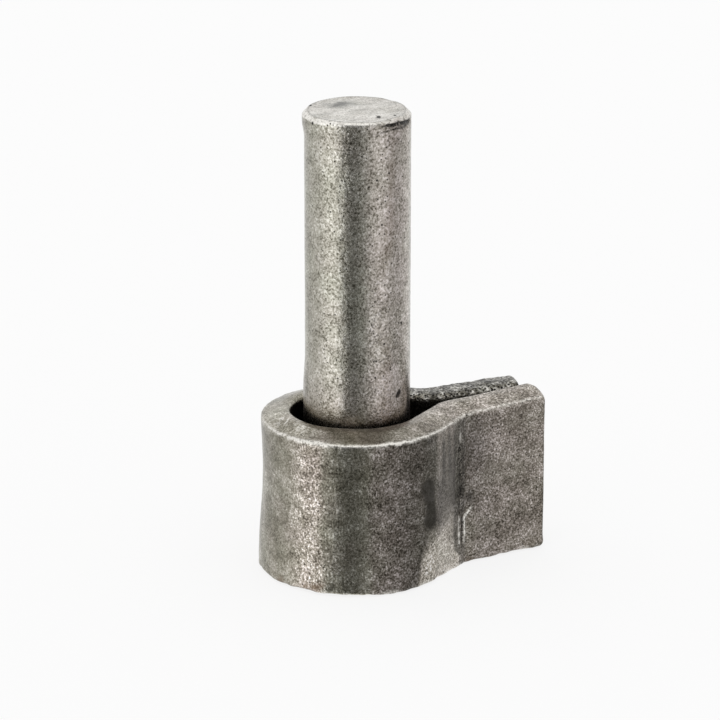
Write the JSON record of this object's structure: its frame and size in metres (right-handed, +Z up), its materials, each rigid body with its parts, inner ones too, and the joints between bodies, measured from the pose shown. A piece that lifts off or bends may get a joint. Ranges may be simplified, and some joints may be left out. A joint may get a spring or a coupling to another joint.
{
  "type": "weld-on hinge pin",
  "caption": "Upright round hinge pin held in the rolled eye of a bent flat steel strap, whose two closed leaves are welded to a post or frame.",
  "frame": {"origin": "on the pin's axis, level with the flat top of the eye, on which the mating hinge band rests", "axes": "+Z up along the pin, +X along the front leaf away from the pin, -Y out of the front leaf's outer face"},
  "size_m": [0.0424, 0.0288, 0.071],
  "materials": {
    "pin_steel": "raw drawn steel, fine pitted grain, rubbed bright in places",
    "strap_steel": "raw hot-rolled steel with mottled grey-brown mill scale, worn bright along its edges",
    "weld_metal": "dull grey weld metal with shallow ripples"
  },
  "bodies": {
    "root": {"pin": "pin_steel", "strap": "strap_steel", "weld_bead": "weld_metal"}
  },
  "joints": []
}
